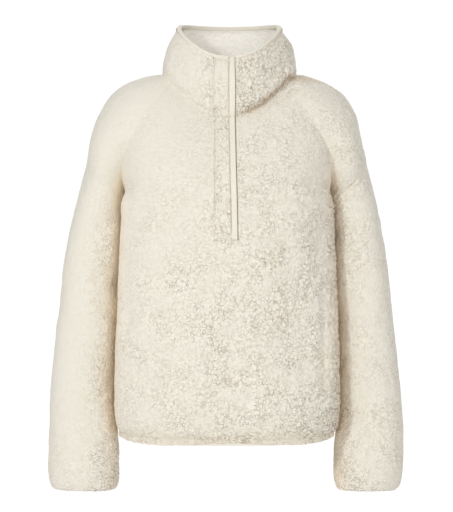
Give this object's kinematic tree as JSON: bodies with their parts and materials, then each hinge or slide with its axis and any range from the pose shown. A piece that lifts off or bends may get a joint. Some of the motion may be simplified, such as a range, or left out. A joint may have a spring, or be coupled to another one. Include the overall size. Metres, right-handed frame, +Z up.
{
  "type": "sherpa fleece pullover, worn form",
  "caption": "Cream sherpa fleece pullover in its worn hollow form, with raglan sleeves, a stand collar, a snapped half placket and narrow knit bindings.",
  "frame": {"origin": "the base of the wearer's neck, on the line of the shoulders, inside the open neck", "axes": "+X the viewer's right, -Y the front, +Z up towards the collar"},
  "size_m": [0.5869, 0.2834, 0.77],
  "materials": {
    "sherpa": "curly undyed cream sherpa pile, matt",
    "binding": "smooth fine knit binding, matt, cream",
    "snap": "tonal cream cap, satin"
  },
  "bodies": {
    "root": {"front_panel": "sherpa", "back_panel": "sherpa", "sleeve_left": "sherpa", "sleeve_right": "sherpa", "collar": "sherpa", "placket_top": "sherpa", "placket_under": "sherpa", "collar_binding": "binding", "placket_binding": "binding", "hem_binding": "binding", "cuff_binding_left": "binding", "cuff_binding_right": "binding", "snap_1": "snap", "snap_2": "snap", "snap_3": "snap", "snap_4": "snap", "snap_5": "snap"}
  },
  "joints": []
}
